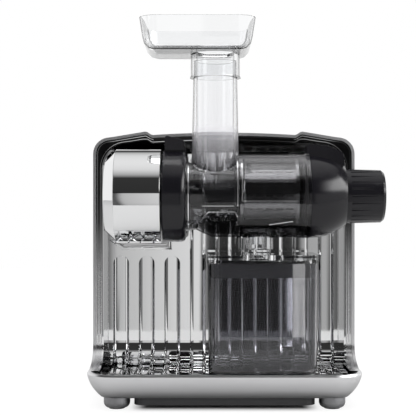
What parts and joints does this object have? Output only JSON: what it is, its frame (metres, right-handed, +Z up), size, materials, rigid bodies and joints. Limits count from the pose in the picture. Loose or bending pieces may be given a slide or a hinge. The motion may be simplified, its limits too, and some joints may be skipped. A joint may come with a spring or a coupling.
{
  "type": "cold press juicer",
  "caption": "Horizontal cold press juicer with a square silver housing, bright ribbed backsplash, clear drum, auger, feed hopper, adjusting knob and lidded juice container.",
  "frame": {"origin": "on the bench, under the middle of the whole object's box", "axes": "+X to the right along the drum from the motor pod to the knob, +Y from the open front to the back, +Z up"},
  "size_m": [0.2964, 0.23, 0.384],
  "materials": {
    "silver_body": "satin silver paint on moulded plastic",
    "chrome_trim": "mirror chrome",
    "black_gloss": "glossy black",
    "black_matt": "fine matt grain",
    "auger_dark": "smooth moulded, half gloss",
    "rubber": "soft matt rubber",
    "seal_grey": "soft dark silicone",
    "clear_plastic": "clear, glossy",
    "smoky_plastic": "clear with a smoky tint, glossy",
    "steel": "turned and pressed steel",
    "screen_steel": "fine brushed",
    "cast_alloy": "die cast, fine grain",
    "copper": null,
    "nylon": "natural moulded nylon",
    "board_green": "laminate with lacquer"
  },
  "bodies": {
    "housing": {"rear_shell": "silver_body", "back_cover": "black_matt", "back_cover_screws": "steel", "shell_bezel": "black_gloss", "bezel_trim": "chrome_trim", "backsplash": "chrome_trim", "base_tray": "silver_body", "base_plate": "black_matt", "base_screws": "steel", "feet": "silver_body", "foot_pads": "rubber", "handle_cup": "black_matt", "carry_handle": "silver_body", "pod_cover": "chrome_trim", "pod_end_ring": "chrome_trim", "pod_trim": "chrome_trim", "drive_collar": "black_gloss", "latch_spring": "steel", "switch_bezel": "black_matt", "cord_gland": "rubber", "motor_stator": "steel", "motor_windings": "copper", "motor_bearings": "steel", "motor_end_bells": "cast_alloy", "idler_pins": "steel", "output_bearings": "steel", "gear_case": "cast_alloy", "gear_case_cover": "cast_alloy", "gear_case_screws": "steel", "motor_bracket": "steel", "control_board": "board_green", "run_capacitor": "cast_alloy"},
    "rotor": {"motor_rotor": "steel", "motor_shaft": "steel", "cooling_fan": "nylon", "motor_pinion": "steel"},
    "first_idler": {"first_idler_gear": "nylon"},
    "second_idler": {"second_idler_gear": "nylon"},
    "output": {"output_gear": "steel", "output_shaft": "steel"},
    "drum": {"drum": "clear_plastic", "drum_seal": "rubber", "juicing_screen": "screen_steel", "juice_outlet": "clear_plastic"},
    "auger": {"auger": "auger_dark"},
    "cap": {"end_cap": "black_gloss", "cap_seal": "rubber", "auger_bush": "steel"},
    "knob": {"adjusting_knob": "black_gloss", "pulp_nozzle": "black_matt"},
    "hopper": {"hopper": "clear_plastic"},
    "container": {"juice_container": "smoky_plastic", "container_lid": "clear_plastic", "lid_seal": "seal_grey"},
    "latch": {"lock_latch": "black_gloss"},
    "switch": {"power_switch": "black_gloss"}
  },
  "joints": [
    {"name": "motor_spin", "type": "hinge", "parent": "housing", "child": "rotor", "pos_m": [0, 0.05153, 0.18706], "axis": [1, 0, 0], "continuous": true},
    {"name": "first_idler_spin", "type": "hinge", "parent": "housing", "child": "first_idler", "pos_m": [0, 0.02099, 0.19817], "axis": [1, 0, 0], "continuous": true},
    {"name": "second_idler_spin", "type": "hinge", "parent": "housing", "child": "second_idler", "pos_m": [0, -0.01425, 0.211], "axis": [1, 0, 0], "continuous": true},
    {"name": "output_spin", "type": "hinge", "parent": "housing", "child": "output", "pos_m": [0, -0.065, 0.211], "axis": [1, 0, 0], "continuous": true},
    {"name": "drum_pull", "type": "slide", "parent": "housing", "child": "drum", "axis": [1, 0, 0], "range_m": [0, 0.07]},
    {"name": "auger_spin", "type": "hinge", "parent": "drum", "child": "auger", "pos_m": [0, -0.065, 0.211], "axis": [1, 0, 0], "continuous": true},
    {"name": "cap_pull", "type": "slide", "parent": "drum", "child": "cap", "axis": [1, 0, 0], "range_m": [0, 0.045]},
    {"name": "knob_turn", "type": "hinge", "parent": "cap", "child": "knob", "pos_m": [0.12, -0.065, 0.211], "axis": [1, 0, 0], "range_deg": [0, 180]},
    {"name": "hopper_lift", "type": "slide", "parent": "drum", "child": "hopper", "axis": [0, 0, 1], "range_m": [0, 0.06]},
    {"name": "container_slide", "type": "slide", "parent": "housing", "child": "container", "axis": [0, -1, 0], "range_m": [0, 0.15]},
    {"name": "latch_slide", "type": "slide", "parent": "housing", "child": "latch", "axis": [-1, 0, 0], "range_m": [0, 0.003], "stiffness_N_per_m": 300, "deforming": ["latch_spring"]},
    {"name": "switch_rock", "type": "hinge", "parent": "housing", "child": "switch", "pos_m": [0.11735, 0.075, 0.1463], "axis": [0, 1, 0], "range_deg": [-12, 12]}
  ],
  "couplings": [
    {"joint": "first_idler_spin", "follows": "motor_spin", "ratio": -0.3},
    {"joint": "second_idler_spin", "follows": "motor_spin", "ratio": 0.11667},
    {"joint": "output_spin", "follows": "motor_spin", "ratio": -0.037121},
    {"joint": "auger_spin", "follows": "motor_spin", "ratio": -0.037121}
  ]
}
